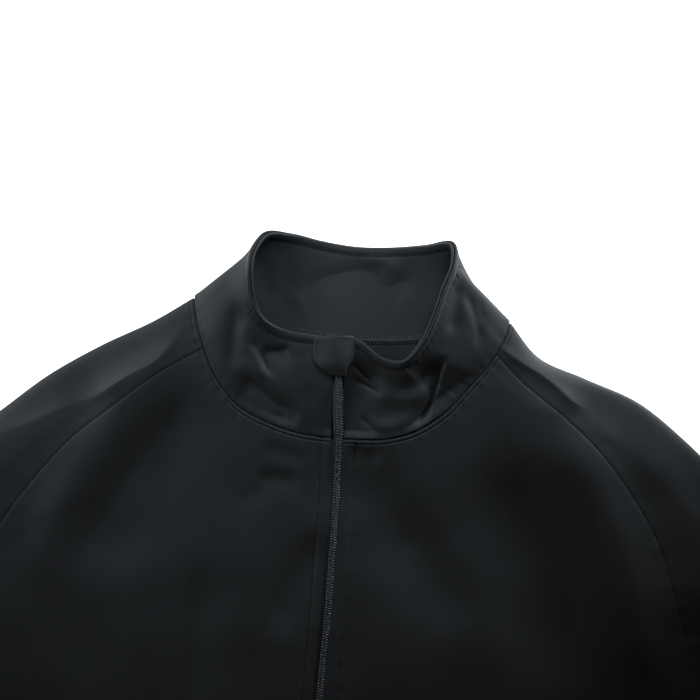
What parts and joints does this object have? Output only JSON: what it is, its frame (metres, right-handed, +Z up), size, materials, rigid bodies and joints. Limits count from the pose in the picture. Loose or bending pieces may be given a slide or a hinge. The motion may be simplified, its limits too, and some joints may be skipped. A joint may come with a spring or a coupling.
{
  "type": "cycling rain jacket",
  "caption": "Zip-front jacket with raglan sleeves, a lined stand collar and a zip guard, laid flat on its back with the collar slightly open.",
  "frame": {"origin": "centre of the box round the whole garment, on the surface that it lies on", "axes": "+Z up from the surface, +Y from hem to collar, +X to the wearer's left sleeve"},
  "size_m": [1.223, 0.795, 0.0298],
  "materials": {
    "shell_cloth": "matt black woven shell cloth with a soft sheen",
    "collar_lining": "matt black, smooth, slightly lighter than the shell",
    "zip_tape": "black woven tape",
    "zip_coil": "black nylon coil",
    "zip_metal": "black painted metal"
  },
  "bodies": {
    "root": {"back": "shell_cloth", "front_right": "shell_cloth", "front_left": "shell_cloth", "sleeve_right": "shell_cloth", "sleeve_left": "shell_cloth", "collar_outer": "shell_cloth", "collar_inner": "collar_lining", "zip_guard": "shell_cloth", "zip_tape_right": "zip_tape", "zip_tape_left": "zip_tape", "zip_coil": "zip_coil", "zip_slider": "zip_metal", "zip_pull": "zip_metal", "zip_box": "zip_coil"}
  },
  "joints": []
}
